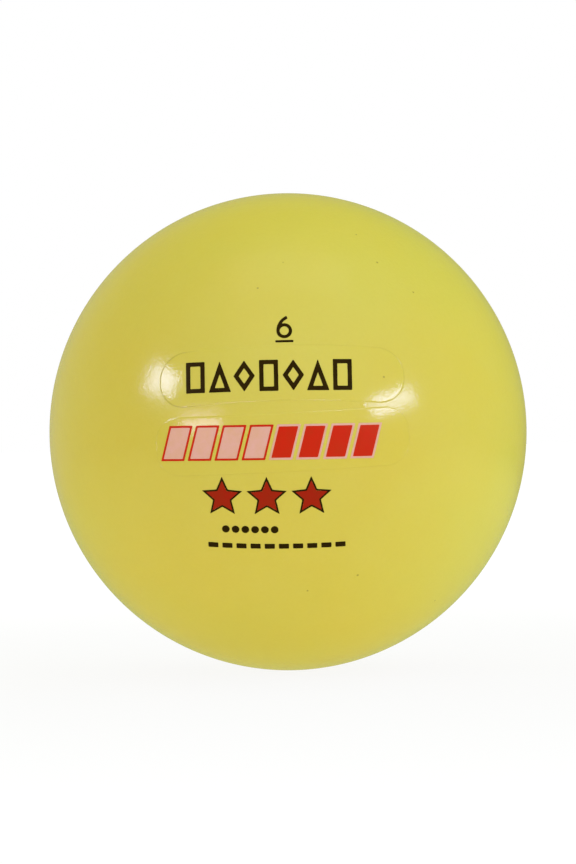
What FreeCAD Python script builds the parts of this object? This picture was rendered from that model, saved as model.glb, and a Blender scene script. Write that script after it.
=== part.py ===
import FreeCAD, Part
import math
import os
import Sketcher

# Inflatable one-skin playground ball with a needle valve.
# Frame, in millimetres: the origin is the centre of the ball, +Z is up,
# the printed badge faces -Y and the valve sits on the +Y pole.
# Artwork is drawn flat and thrown onto the front of the ball.

doc = FreeCAD.newDocument("PlaygroundBall")

# ---------------------------------------------------------------- dimensions
# alias, value, note
DIMENSIONS = [
    ("BallDiameter", 152.4, "outside diameter when inflated, nominal 6 inch"),
    ("WallThickness", 2.0, "skin wall"),
    ("SeamRise", 0.08, "height of the mould parting line above the skin"),
    ("SeamRadius", 0.35, "section radius of the parting line bead"),
    ("PanelRise", 0.12, "height of the moulded badge panels above the skin"),
    ("InkThickness", 0.06, "thickness of a printed ink film"),
    ("ThrowClearance", 5.0, "length of thrown artwork beyond the ball radius"),
    ("BossRadius", 8.0, "outer radius of the valve boss inside the skin"),
    ("BossDepth", 10.5, "skin surface to the inner end of the boss"),
    ("BossFillet", 2.5, "blend between boss and skin"),
    ("BossEndFillet", 0.8, "rounding of the inner end of the boss"),
    ("HeadRadius", 4.6, "radius of the valve seat head"),
    ("HeadDepth", 1.3, "depth of the counterbore that takes the head"),
    ("NeckRadius", 3.2, "radius of the valve seat neck"),
    ("FlangeRadius", 4.8, "radius of the locking flange inside the ball"),
    ("FlangeDepth", 1.6, "thickness of the locking flange"),
    ("FlangeTaper", 0.8, "lead-in taper of the locking flange"),
    ("CoreRadius", 2.1, "radius of the valve core"),
    ("CoreRecess", 0.6, "top of the core below the pole of the ball"),
    ("BarbRadius", 2.7, "radius of the core's retaining bulge"),
    ("BarbTop", 5.2, "depth of the top of the bulge below the pole"),
    ("BarbLength", 2.0, "length of the bulge"),
    ("TipRadius", 1.5, "radius of the core's inner tip"),
    ("TipLength", 3.0, "core length past the seat"),
    ("NeedleRadius", 1.05, "radius of the needle lead-in"),
    ("NeedleLength", 6.0, "length of the needle lead-in"),
    ("FunnelWidth", 0.55, "width of the lead-in chamfer"),
    ("SlitWidth", 1.9, "width of the self-closing slit"),
    ("SlitGap", 0.06, "gap of the self-closing slit"),
    ("SlitOverrun", 1.0, "length of the slit cutter past the core's tip"),
    ("UpperPanelSwing", -1.2, "degrees the upper panel's centre lies to the right"),
    ("UpperPanelPitch", 13.3, "degrees the upper panel's centre lies above level"),
    ("UpperPanelTilt", 0.5, "degrees the upper panel leans"),
    ("UpperPanelWidth", 72.4, "length of the upper badge panel"),
    ("UpperPanelHeight", 16.7, "height of the upper badge panel"),
    ("UpperPanelCorner", 7.9, "corner radius of the upper badge panel"),
    ("LowerPanelSwing", -1.5, "degrees the lower panel's centre lies to the right"),
    ("LowerPanelPitch", -2.4, "degrees the lower panel's centre lies above level"),
    ("LowerPanelTilt", 2.0, "degrees the lower panel leans"),
    ("LowerPanelWidth", 75.0, "length of the lower badge panel"),
    ("LowerPanelHeight", 17.2, "height of the lower badge panel"),
    ("LowerPanelCorner", 7.0, "corner radius of the lower badge panel"),
    ("NumeralX", -0.60, "centre of the size numeral"),
    ("NumeralZ", 29.90, "height of the centre of the numeral's bowl"),
    ("NumeralPitch", 6.0, "degrees the numeral is thrown upwards"),
    ("NumeralBowl", 2.34, "outer radius of the bowl of the 6"),
    ("NumeralStroke", 0.98, "stroke width of the numeral"),
    ("NumeralStem", 5.12, "outer radius of the stem of the 6"),
    ("NumeralStemAngle", 66.0, "degrees swept by the stem of the 6"),
    ("UnderlineWidth", 5.4, "length of the bar under the numeral"),
    ("UnderlineDrop", 3.25, "bowl centre to the middle of the bar"),
    ("UnderlineStroke", 0.70, "stroke of the bar"),
    ("ShapeRowX", -5.40, "centre of the row of bold shapes"),
    ("ShapeRowZ", 16.70, "height of the row of bold shapes"),
    ("ShapeRowPitch", 3.0, "degrees the row of shapes is thrown upwards"),
    ("ShapePitch", 7.25, "spacing of the bold shapes"),
    ("ShapeWidth", 5.60, "width of a box in the row"),
    ("ShapeHeight", 9.30, "height of every shape in the row"),
    ("ShapeStroke", 1.30, "stroke width of the shapes"),
    ("TriangleSpread", 1.18, "width of a triangle relative to a box"),
    ("DiamondSpread", 1.14, "width of a diamond relative to a box"),
    ("BarRowX", -5.00, "centre of the row of slanted bars"),
    ("BarRowZ", -3.00, "height of the row of slanted bars"),
    ("BarRowPitch", -0.6, "degrees the row of bars is thrown upwards"),
    ("BarPitch", 8.00, "spacing of the slanted bars"),
    ("BarWidth", 5.70, "width of a slanted bar"),
    ("BarHeight", 9.20, "height of a slanted bar"),
    ("BarSlant", 2.40, "sideways lean of a slanted bar over its height"),
    ("BarOutline", 0.62, "line width around a slanted bar"),
    ("StarRowX", -6.60, "centre of the row of stars"),
    ("StarRowZ", -19.30, "height of the row of stars"),
    ("StarRowPitch", -6.0, "degrees the row of stars is thrown upwards"),
    ("StarPitch", 13.2, "spacing of the stars"),
    ("StarRadius", 5.00, "tip radius of a star"),
    ("StarWaist", 2.30, "inner radius of a star"),
    ("StarOutline", 1.26, "size of the outlined star relative to the star"),
    ("DotRowX", -11.70, "centre of the row of dots"),
    ("DotRowZ", -28.90, "height of the row of dots"),
    ("DotRowPitch", -10.0, "degrees the row of dots is thrown upwards"),
    ("DotPitch", 2.90, "spacing of the dots"),
    ("DotRadius", 1.15, "radius of a dot"),
    ("DashRowX", -3.90, "centre of the row of dashes"),
    ("DashRowZ", -33.90, "height of the row of dashes"),
    ("DashRowPitch", -11.5, "degrees the row of dashes is thrown upwards"),
    ("DashPitch", 4.20, "spacing of the dashes"),
    ("DashWidth", 3.00, "length of a dash"),
    ("DashHeight", 1.60, "stroke of a dash"),
]

# Shapes in each row of the badge
BARS_PER_COLOUR = 4
BAR_COUNT = 2 * BARS_PER_COLOUR
STAR_COUNT = 3
STAR_POINTS = 5
DOT_COUNT = 6
DASH_COUNT = 10

sheet = doc.addObject("Spreadsheet::Sheet", "Dims")
for row, (alias, value, note) in enumerate(DIMENSIONS, start=1):
    sheet.set("A%d" % row, alias)
    sheet.set("B%d" % row, str(value))
    sheet.set("C%d" % row, note)
    sheet.setAlias("B%d" % row, alias)
doc.recompute()


class Dim:
    """A dimension with its number and the sheet formula that drives it."""

    def __init__(self, value, text):
        self.value, self.text = value, text

    @staticmethod
    def of(other):
        if isinstance(other, Dim):
            return other
        return Dim(float(other), "(%r)" % float(other))

    def __add__(self, other):
        other = Dim.of(other)
        return Dim(self.value + other.value, "(%s + %s)" % (self.text, other.text))

    def __sub__(self, other):
        other = Dim.of(other)
        return Dim(self.value - other.value, "(%s - %s)" % (self.text, other.text))

    def __mul__(self, other):
        other = Dim.of(other)
        return Dim(self.value * other.value, "(%s * %s)" % (self.text, other.text))

    def __truediv__(self, other):
        other = Dim.of(other)
        return Dim(self.value / other.value, "(%s / %s)" % (self.text, other.text))

    def __neg__(self):
        return Dim(-self.value, "(-1 * %s)" % self.text)

    def root(self):
        return Dim(math.sqrt(self.value), "sqrt(%s)" % self.text)

    def sine(self):
        """Sine of an angle held in degrees."""
        return Dim(math.sin(math.radians(self.value)), "sin(%s * 1 deg)" % self.text)

    def cosine(self):
        """Cosine of an angle held in degrees."""
        return Dim(math.cos(math.radians(self.value)), "cos(%s * 1 deg)" % self.text)


def cell(alias):
    return Dim(float(sheet.get(alias)), "Dims.%s" % alias)


def bind(obj, prop, dim):
    obj.setExpression(prop, dim.text)


def sphere_height(radius, distance):
    """Height on a sphere of the given radius at a distance from its axis."""
    return (radius * radius - distance * distance).root()


BALL = cell("BallDiameter") / 2
INNER = BALL - cell("WallThickness")
PANEL_TOP = BALL + cell("PanelRise")
THROW = BALL + cell("ThrowClearance")

# Radii about the valve axis, and levels along it, shared by the valve pieces
HEAD = cell("HeadRadius")
NECK = cell("NeckRadius")
CORE = cell("CoreRadius")
BARB = cell("BarbRadius")
HEAD_FLOOR = BALL - cell("HeadDepth")
BOSS_END = BALL - cell("BossDepth")
FLANGE_END = BOSS_END - cell("FlangeDepth")
BARB_TOP = BALL - cell("BarbTop")
BARB_END = BARB_TOP - cell("BarbLength")

# ------------------------------------------------------------ sketch helpers
# Sketcher's numbers for the points of a geometry, and for the sketch origin
START, END, CENTRE = 1, 2, 3
ORIGIN = (-1, 1)
NORMAL = FreeCAD.Vector(0, 0, 1)


def new_body(name):
    return doc.addObject("PartDesign::Body", name)


def origin_item(body, role):
    return [item for item in body.Origin.OriginFeatures if item.Role == role][0]


def new_sketch(body, name, plane):
    sketch = body.newObject("Sketcher::SketchObject", name)
    sketch.AttachmentSupport = [(origin_item(body, plane), "")]
    sketch.MapMode = "FlatFace"
    return sketch


def vec(x, y):
    return FreeCAD.Vector(Dim.of(x).value, Dim.of(y).value, 0)


def add_line(sketch, start, end):
    return sketch.addGeometry(Part.LineSegment(vec(*start), vec(*end)), False)


def add_arc(sketch, x, y, radius, start_angle, end_angle):
    """Arc about (x, y), counter-clockwise between two angles in radians."""
    circle = Part.Circle(vec(x, y), NORMAL, radius.value)
    return sketch.addGeometry(Part.ArcOfCircle(circle, start_angle, end_angle), False)


def join(sketch, *points):
    """Make two points coincide, given as geometry, point, geometry, point."""
    sketch.addConstraint(Sketcher.Constraint("Coincident", *points))


def pin(sketch, geo, pos, x, y):
    """Fix a sketch point at sheet-driven distances from the sketch origin."""
    for kind, dim in (("DistanceX", x), ("DistanceY", y)):
        if dim is None:
            continue
        dim = Dim.of(dim)
        index = sketch.addConstraint(
            Sketcher.Constraint(kind, *ORIGIN, geo, pos, dim.value)
        )
        bind(sketch, "Constraints[%d]" % index, dim)


def fix_radius(sketch, geo, radius):
    index = sketch.addConstraint(Sketcher.Constraint("Radius", geo, radius.value))
    bind(sketch, "Constraints[%d]" % index, radius)


def polygon(sketch, points):
    """Closed polygon, every corner driven by the sheet."""
    following = points[1:] + points[:1]
    lines = [add_line(sketch, a, b) for a, b in zip(points, following)]
    for line, after in zip(lines, lines[1:] + lines[:1]):
        join(sketch, line, END, after, START)
    for line, point in zip(lines, points):
        pin(sketch, line, START, *point)


def rectangle(sketch, x, y, half_width, half_height):
    polygon(
        sketch,
        [
            (x - half_width, y - half_height),
            (x + half_width, y - half_height),
            (x + half_width, y + half_height),
            (x - half_width, y + half_height),
        ],
    )


def full_circle(sketch, x, y, radius):
    """Full circle with a driven centre and radius."""
    geo = sketch.addGeometry(Part.Circle(vec(x, y), NORMAL, radius.value), False)
    pin(sketch, geo, CENTRE, x, y)
    fix_radius(sketch, geo, radius)


def outline(sketch, steps):
    """Closed profile of straight lines and arcs centred on the sketch origin.

    Each step is (x, y, arc radius or None); the radius belongs to the edge
    that leaves the point.
    """
    edges = []  # geometry, the point it leaves from, the point it arrives at
    for (x, y, radius), (next_x, next_y, _) in zip(steps, steps[1:] + steps[:1]):
        if radius is None:
            edges.append((add_line(sketch, (x, y), (next_x, next_y)), START, END))
            continue
        here, there = vec(x, y), vec(next_x, next_y)
        leaving = math.atan2(here.y, here.x)
        arriving = math.atan2(there.y, there.x)
        low, high = min(leaving, arriving), max(leaving, arriving)
        geo = add_arc(sketch, 0, 0, radius, low, high)
        edges.append((geo, START, END) if arriving > leaving else (geo, END, START))
        join(sketch, geo, CENTRE, *ORIGIN)
    for (geo, _, end), (after, start, _) in zip(edges, edges[1:] + edges[:1]):
        join(sketch, geo, end, after, start)
    # where an arc arrives its radius already sets the height of the point
    for i, (x, y, _) in enumerate(steps):
        geo, start, _ = edges[i]
        arrives_on_arc = steps[i - 1][2] is not None
        pin(sketch, geo, start, x, None if arrives_on_arc else y)


# ----------------------------------------------------------- feature helpers
def pad(body, name, sketch):
    """Pad flat artwork out past the front of the ball."""
    feature = body.newObject("PartDesign::Pad", name)
    feature.Profile = sketch
    bind(feature, "Length", THROW)
    return feature


def turned(body, name, sketch):
    """Full revolution about the valve axis, the sketch's own vertical axis."""
    feature = body.newObject("PartDesign::Revolution", name)
    feature.Profile = sketch
    feature.ReferenceAxis = (sketch, ["V_Axis"])
    feature.Angle = 360
    return feature


def circle_edges(shape, radius, height):
    """Names of full-circle edges about Y with this radius at this height."""
    tolerance = 1e-3
    names = []
    for i, edge in enumerate(shape.Edges, start=1):
        if edge.Degenerated:
            continue
        curve = edge.Curve
        if isinstance(curve, Part.Circle) and abs(curve.Radius - radius) < tolerance:
            if abs(curve.Center.y - height) < tolerance:
                names.append("Edge%d" % i)
    return names


def round_circle(body, name, base, circle_radius, level, fillet_radius):
    """Fillet the circular edge of base with this radius at this level."""
    feature = body.newObject("PartDesign::Fillet", name)
    edges = circle_edges(base.Shape, circle_radius.value, level.value)
    feature.Base = (base, edges)
    bind(feature, "Radius", fillet_radius)
    doc.recompute()
    return feature


def sphere(name, radius):
    ball = doc.addObject("Part::Sphere", name)
    bind(ball, "Radius", radius)
    return ball


def layer(name, low, high):
    """Thin spherical layer between two radii."""
    cut = doc.addObject("Part::Cut", name)
    cut.Base = sphere(name + "Outer", high)
    cut.Tool = sphere(name + "Inner", low)
    return cut


NODES = {}


def name_node(obj, label):
    obj.Label = label
    NODES[label] = obj


# ---------------------------------------------------------- printing helpers
SKIN_INK = layer("SkinInkLayer", BALL, BALL + cell("InkThickness"))
PANEL_INK = layer("PanelInkLayer", PANEL_TOP, PANEL_TOP + cell("InkThickness"))


def thrown_height(height, throw_angle):
    """Sketch height that lands at a height on the front of the ball when the
    artwork is thrown along a line pitched upwards by the given degrees."""
    return height * throw_angle.cosine() - sphere_height(BALL, height) * throw_angle.sine()


def printed(label, body, ink, throw_angle):
    """Ink film: the flat artwork, turned about X so that it is thrown upwards
    by throw_angle, kept where it meets the ink layer."""
    turn = -throw_angle
    body.Placement = FreeCAD.Placement(
        FreeCAD.Vector(0, 0, 0),
        FreeCAD.Rotation(FreeCAD.Vector(1, 0, 0), turn.value),
    )
    body.setExpression("Placement.Rotation.Angle", "%s * 1 deg" % turn.text)
    film = doc.addObject("Part::Common", label.title().replace("_", ""))
    film.Base = body
    film.Tool = ink
    name_node(film, label)


def printed_row(kind, name, label, ink, draw, count, first=0, total=None):
    """Print evenly spaced copies of one shape.

    kind is the prefix of the row's sheet dimensions, and draw(sketch, x, z)
    draws the leftmost copy. The copies take count places, from place first,
    in a centred row of total places.
    """
    spacing, throw_angle = cell(kind + "Pitch"), cell(kind + "RowPitch")
    x = cell(kind + "RowX") + spacing * (first - ((total or count) - 1) / 2)
    z = thrown_height(cell(kind + "RowZ"), throw_angle)

    body = new_body(name + "Art")
    sketch = new_sketch(body, name + "Outline", "XZ_Plane")
    draw(sketch, x, z)
    single = pad(body, name + "Pad", sketch)
    doc.recompute()
    run = body.newObject("PartDesign::LinearPattern", name + "Run")
    run.Originals = [single]
    run.Direction = (origin_item(body, "X_Axis"), [""])
    bind(run, "Length", spacing * (count - 1))
    run.Occurrences = count
    body.Tip = run
    printed(label, body, ink, throw_angle)


# ------------------------------------------------------------------ ball skin
def skin_shell():
    """Hollow ball with the valve boss. The profile runs up the outside from
    the -Y pole to the valve counterbore, down through the boss, and back
    along the inside."""
    body = new_body("SkinBody")
    profile = new_sketch(body, "SkinProfile", "XY_Plane")
    boss = cell("BossRadius")
    boss_root = sphere_height(INNER, boss)
    outline(
        profile,
        [
            (0, -BALL, BALL),
            (HEAD, sphere_height(BALL, HEAD), None),
            (HEAD, HEAD_FLOOR, None),
            (NECK, HEAD_FLOOR, None),
            (NECK, BOSS_END, None),
            (boss, BOSS_END, None),
            (boss, boss_root, INNER),
            (0, -INNER, None),
        ],
    )
    shell = turned(body, "SkinRevolution", profile)
    doc.recompute()
    blend = round_circle(body, "BossBlend", shell, boss, boss_root, cell("BossFillet"))
    round_circle(body, "BossEndRounding", blend, boss, BOSS_END, cell("BossEndFillet"))
    return body


def badge_panel(name):
    """Raised panel, a rounded rectangle thrown onto the skin from its own
    centre outwards, so that its long edges bend with the ball."""
    body = new_body(name + "Body")
    sketch = new_sketch(body, name + "Outline", "XZ_Plane")
    corner = cell(name + "Corner")
    width, height = cell(name + "Width"), cell(name + "Height")
    left, right = -width / 2, width / 2
    low, high = -height / 2, height / 2
    # straight sides: bottom, right, top, left
    sides = [
        ((left + corner, low), (right - corner, low)),
        ((right, low + corner), (right, high - corner)),
        ((right - corner, high), (left + corner, high)),
        ((left, high - corner), (left, low + corner)),
    ]
    # corner arc after each side: centre x, centre y, start angle in degrees
    corners = [
        (right - corner, low + corner, -90),
        (right - corner, high - corner, 0),
        (left + corner, high - corner, 90),
        (left + corner, low + corner, 180),
    ]
    lines = [add_line(sketch, start, end) for start, end in sides]
    arcs = [
        add_arc(sketch, x, y, corner, math.radians(angle), math.radians(angle + 90))
        for x, y, angle in corners
    ]
    for line, arc, after in zip(lines, arcs, lines[1:] + lines[:1]):
        join(sketch, line, END, arc, START)
        join(sketch, arc, END, after, START)
    for line, (start, end) in zip(lines, sides):
        pin(sketch, line, START, *start)
        pin(sketch, line, END, *end)
    for arc in arcs:
        fix_radius(sketch, arc, corner)
    pad(body, name + "Pad", sketch)

    body.Placement = FreeCAD.Placement(
        FreeCAD.Vector(0, 0, 0),
        FreeCAD.Rotation(
            cell(name + "Swing").value,
            -cell(name + "Tilt").value,
            -cell(name + "Pitch").value,
        ),
    )
    # FreeCAD's angle, the panel dimension that drives it, its sign
    for angle, suffix, sign in (
        ("Yaw", "Swing", 1),
        ("Pitch", "Tilt", -1),
        ("Roll", "Pitch", -1),
    ):
        body.setExpression(
            "Placement.Rotation.%s" % angle,
            "%d * Dims.%s * 1 deg" % (sign, name + suffix),
        )
    cap = doc.addObject("Part::Common", name + "Cap")
    cap.Base = body
    # the cap starts half way through the wall, so that it fuses with the skin
    cap.Tool = layer(name + "Layer", BALL - cell("WallThickness") / 2, PANEL_TOP)
    return cap


def parting_bead():
    """The two mould halves meet on the great circle half way between badge
    and valve, and leave a bead that barely stands out of the skin."""
    bead = doc.addObject("Part::Torus", "PartingBead")
    bind(bead, "Radius1", BALL + cell("SeamRise") - cell("SeamRadius"))
    bind(bead, "Radius2", cell("SeamRadius"))
    bead.Placement = FreeCAD.Placement(
        FreeCAD.Vector(0, 0, 0), FreeCAD.Rotation(FreeCAD.Vector(1, 0, 0), 90)
    )
    return bead


def make_ball_skin():
    skin = [
        skin_shell(),
        badge_panel("UpperPanel"),
        badge_panel("LowerPanel"),
        parting_bead(),
    ]
    fused = doc.addObject("Part::MultiFuse", "BallSkin")
    fused.Shapes = skin
    name_node(fused, "ball_skin")


# ---------------------------------------------------------------------- valve
def make_valve_seat():
    """Flanged sleeve moulded into the boss: its head lies flush with the
    ball, its neck lines the boss and its flange locks behind the boss's
    inner end."""
    flange = cell("FlangeRadius")
    body = new_body("ValveSeat")
    profile = new_sketch(body, "SeatProfile", "XY_Plane")
    outline(
        profile,
        [
            (CORE, FLANGE_END, None),
            (flange - cell("FlangeTaper"), FLANGE_END, None),
            (flange, BOSS_END, None),
            (NECK, BOSS_END, None),
            (NECK, HEAD_FLOOR, None),
            (HEAD, HEAD_FLOOR, None),
            (HEAD, sphere_height(BALL, HEAD), BALL),
            (CORE, sphere_height(BALL, CORE), None),
            (CORE, BARB_TOP, None),
            (BARB, BARB_TOP, None),
            (BARB, BARB_END, None),
            (CORE, BARB_END, None),
        ],
    )
    turned(body, "SeatRevolution", profile)
    name_node(body, "valve_seat")


def make_valve_core():
    """Soft plug with a lead-in for the inflation needle. Past the lead-in it
    is slit, and the air pressure inside the ball presses the slit shut."""
    needle, funnel = cell("NeedleRadius"), cell("FunnelWidth")
    core_top = BALL - cell("CoreRecess")
    lead_top = core_top - funnel
    lead_end = lead_top - cell("NeedleLength")
    tip_end = FLANGE_END - cell("TipLength")

    body = new_body("ValveCore")
    profile = new_sketch(body, "CoreProfile", "XY_Plane")
    outline(
        profile,
        [
            (0, tip_end, None),
            (cell("TipRadius"), tip_end, None),
            (CORE, FLANGE_END, None),
            (CORE, BARB_END, None),
            (BARB, BARB_END, None),
            (BARB, BARB_TOP, None),
            (CORE, BARB_TOP, None),
            (CORE, core_top, None),
            (needle + funnel, core_top, None),
            (needle, lead_top, None),
            (needle, lead_end, None),
            (0, lead_end, None),
        ],
    )
    plug = turned(body, "CoreRevolution", profile)
    doc.recompute()

    sketch = new_sketch(body, "SlitOutline", "XY_Plane")
    half_width = cell("SlitWidth") / 2
    cutter_end = tip_end - cell("SlitOverrun")
    polygon(
        sketch,
        [
            (-half_width, cutter_end),
            (half_width, cutter_end),
            (half_width, lead_end),
            (-half_width, lead_end),
        ],
    )
    slit = body.newObject("PartDesign::Pocket", "Slit")
    slit.Profile = sketch
    slit.Midplane = True
    bind(slit, "Length", cell("SlitGap"))
    doc.recompute()
    least_removed = 0.1  # cubic millimetres
    if not slit.Shape.Volume < plug.Shape.Volume - least_removed:
        raise SystemExit("the slit removed nothing")
    name_node(body, "valve_core")


# --------------------------------------------------------------- size numeral
def make_size_numeral():
    """A 6, for the nominal size in inches, underlined so that it isn't read
    as 9."""
    body = new_body("NumeralArt")
    throw_angle = cell("NumeralPitch")
    x, z = cell("NumeralX"), thrown_height(cell("NumeralZ"), throw_angle)
    bowl, stroke = cell("NumeralBowl"), cell("NumeralStroke")
    stem, stem_angle = cell("NumeralStem"), cell("NumeralStemAngle")

    sketch = new_sketch(body, "BowlOutline", "XZ_Plane")
    full_circle(sketch, x, z, bowl)
    full_circle(sketch, x, z, bowl - stroke)
    pad(body, "BowlPad", sketch)

    # The stem is part of a ring that touches the bowl at its left side.
    sketch = new_sketch(body, "StemOutline", "XZ_Plane")
    stem_x = x - bowl + stem
    top_angle = math.pi - math.radians(stem_angle.value)
    arcs = []
    for radius in (stem, stem - stroke):
        arc = add_arc(sketch, stem_x, z, radius, top_angle, math.pi)
        pin(sketch, arc, CENTRE, stem_x, z)
        fix_radius(sketch, arc, radius)
        pin(sketch, arc, START, stem_x - radius * stem_angle.cosine(), None)
        pin(sketch, arc, END, None, z)
        arcs.append(arc)
    for pos in (START, END):
        points = [sketch.getPoint(arc, pos) for arc in arcs]
        line = sketch.addGeometry(Part.LineSegment(*points), False)
        join(sketch, line, START, arcs[0], pos)
        join(sketch, line, END, arcs[1], pos)
    pad(body, "StemPad", sketch)

    sketch = new_sketch(body, "UnderlineOutline", "XZ_Plane")
    underline_z = z - cell("UnderlineDrop")
    rectangle(
        sketch, x, underline_z, cell("UnderlineWidth") / 2, cell("UnderlineStroke") / 2
    )
    pad(body, "UnderlinePad", sketch)
    printed("print_size_numeral", body, SKIN_INK, throw_angle)


# ---------------------------------------------------------------- bold shapes
def make_shape_row():
    """Box, triangle, diamond, box, diamond, triangle, box, each an open frame
    with one stroke width. Places are counted from the middle of the row."""
    body = new_body("ShapeRowArt")
    throw_angle = cell("ShapeRowPitch")
    row_x, z = cell("ShapeRowX"), thrown_height(cell("ShapeRowZ"), throw_angle)
    spacing, stroke = cell("ShapePitch"), cell("ShapeStroke")
    half_width, half_height = cell("ShapeWidth") / 2, cell("ShapeHeight") / 2

    sketch = new_sketch(body, "BoxOutline", "XZ_Plane")
    for place in (-3, 0, 3):
        x = row_x + spacing * place
        for inset in (0, stroke):
            rectangle(sketch, x, z, half_width - inset, half_height - inset)
    pad(body, "BoxPad", sketch)

    # A triangle stands on its base; each side moves in by one stroke.
    sketch = new_sketch(body, "TriangleOutline", "XZ_Plane")
    foot, rise = half_width * cell("TriangleSpread"), half_height * 2
    flank = (foot * foot + rise * rise).root() / (foot * rise)
    inner_foot = foot * (Dim.of(1) - stroke * flank - stroke / rise)
    base = z - half_height
    apex = z + half_height
    for place in (-2, 2):
        x = row_x + spacing * place
        polygon(sketch, [(x - foot, base), (x + foot, base), (x, apex)])
        polygon(
            sketch,
            [
                (x - inner_foot, base + stroke),
                (x + inner_foot, base + stroke),
                (x, apex - rise * stroke * flank),
            ],
        )
    pad(body, "TrianglePad", sketch)

    sketch = new_sketch(body, "DiamondOutline", "XZ_Plane")
    reach = half_width * cell("DiamondSpread")
    facet = (reach * reach + half_height * half_height).root() / (reach * half_height)
    for place in (-1, 1):
        x = row_x + spacing * place
        for share in (Dim.of(1), Dim.of(1) - stroke * facet):
            polygon(
                sketch,
                [
                    (x, z - half_height * share),
                    (x + reach * share, z),
                    (x, z + half_height * share),
                    (x - reach * share, z),
                ],
            )
    pad(body, "DiamondPad", sketch)
    printed("print_shape_row", body, PANEL_INK, throw_angle)


# --------------------------------------------------------------- slanted bars
def bar_corners(x, z, grow):
    """Corners of a leaning bar, grown evenly by grow on every side."""
    half_width, half_height = cell("BarWidth") / 2, cell("BarHeight") / 2
    lean = cell("BarSlant") / 2
    slope = cell("BarSlant") / cell("BarHeight")
    side = (slope * slope + 1).root() * grow
    over = slope * grow
    return [
        (x - half_width - lean - side - over, z - half_height - grow),
        (x + half_width - lean + side - over, z - half_height - grow),
        (x + half_width + lean + side + over, z + half_height + grow),
        (x - half_width + lean - side + over, z + half_height + grow),
    ]


def draw_bar(sketch, x, z):
    polygon(sketch, bar_corners(x, z, Dim.of(0)))


def draw_bar_rim(sketch, x, z):
    polygon(sketch, bar_corners(x, z, cell("BarOutline")))
    draw_bar(sketch, x, z)


def make_bars():
    """Leaning bars in a line: pale ones outlined in red, then to their right
    red ones outlined in the pale colour."""
    for group, (name, label) in enumerate(
        (("PaleBar", "print_bars_pale"), ("RedBar", "print_bars_red"))
    ):
        places = dict(
            count=BARS_PER_COLOUR, first=group * BARS_PER_COLOUR, total=BAR_COUNT
        )
        printed_row("Bar", name + "Fill", label, PANEL_INK, draw_bar, **places)
        printed_row(
            "Bar", name + "Rim", label + "_outline", PANEL_INK, draw_bar_rim, **places
        )


# ---------------------------------------------------------------------- stars
def star_corners(x, z, scale):
    """Corners of a star from its top tip, tips and waists in turn."""
    corners = []
    for i in range(2 * STAR_POINTS):
        reach = (cell("StarWaist") if i % 2 else cell("StarRadius")) * scale
        angle = math.radians(90 + 180 / STAR_POINTS * i)
        # rounded, so that no cosine reaches the sheet formula as 6e-17
        across, up = round(math.cos(angle), 9), round(math.sin(angle), 9)
        corners.append((x + reach * across, z + reach * up))
    return corners


def draw_star(sketch, x, z):
    polygon(sketch, star_corners(x, z, 1))


def draw_star_rim(sketch, x, z):
    polygon(sketch, star_corners(x, z, cell("StarOutline")))
    draw_star(sketch, x, z)


# ------------------------------------------------------------ dots and dashes
def draw_dot(sketch, x, z):
    full_circle(sketch, x, z, cell("DotRadius"))


def draw_dash(sketch, x, z):
    rectangle(sketch, x, z, cell("DashWidth") / 2, cell("DashHeight") / 2)


# --------------------------------------------------------------------- pieces
make_ball_skin()
make_valve_seat()
make_valve_core()
make_size_numeral()
make_shape_row()
make_bars()
printed_row("Star", "StarFill", "print_stars_red", SKIN_INK, draw_star, STAR_COUNT)
printed_row("Star", "StarRim", "print_stars_outline", SKIN_INK, draw_star_rim, STAR_COUNT)
printed_row("Dot", "Dot", "print_dot_row", SKIN_INK, draw_dot, DOT_COUNT)
printed_row("Dash", "Dash", "print_dash_row", SKIN_INK, draw_dash, DASH_COUNT)

# --------------------------------------------------------------------- output
doc.recompute()
bad = []
for obj in doc.Objects:
    if "Invalid" in obj.State or "Error" in obj.State:
        bad.append("%s: %s" % (obj.Name, obj.State))
for label, obj in NODES.items():
    shape = obj.Shape
    if shape.isNull() or not shape.isValid() or not shape.Solids:
        bad.append("%s: no valid solid" % label)
if bad:
    raise SystemExit("; ".join(bad))

os.makedirs("parts", exist_ok=True)
for label, obj in NODES.items():
    obj.Shape.exportStep("parts/%s.step" % label)
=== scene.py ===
"""The looks of an inflatable playground ball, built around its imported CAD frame.

The ball is centred on the origin. Its badge of two raised panels faces -Y, the
valve is on +Y and the mould seam runs round the ball at y = 0. Sizes are in
millimetres unless said otherwise.
"""

import math
from collections import Counter

import bmesh
import bpy
import numpy as np
from mathutils import Matrix, Vector
from mathutils.geometry import delaunay_2d_cdt

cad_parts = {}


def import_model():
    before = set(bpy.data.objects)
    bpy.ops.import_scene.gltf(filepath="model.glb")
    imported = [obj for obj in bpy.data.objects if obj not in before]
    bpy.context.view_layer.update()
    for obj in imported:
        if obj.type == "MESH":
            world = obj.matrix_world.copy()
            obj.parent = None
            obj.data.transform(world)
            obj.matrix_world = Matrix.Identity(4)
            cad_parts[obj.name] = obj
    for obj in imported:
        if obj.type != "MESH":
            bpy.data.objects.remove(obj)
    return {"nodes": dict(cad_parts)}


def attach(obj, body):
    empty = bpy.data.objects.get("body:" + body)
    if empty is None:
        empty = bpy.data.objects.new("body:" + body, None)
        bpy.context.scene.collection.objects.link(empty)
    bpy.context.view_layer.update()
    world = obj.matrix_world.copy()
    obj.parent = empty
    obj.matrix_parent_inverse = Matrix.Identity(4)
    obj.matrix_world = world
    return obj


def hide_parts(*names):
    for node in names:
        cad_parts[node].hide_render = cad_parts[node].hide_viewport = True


cad_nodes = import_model()["nodes"]
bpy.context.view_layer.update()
MM = 0.001  # metres in a millimetre

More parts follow.
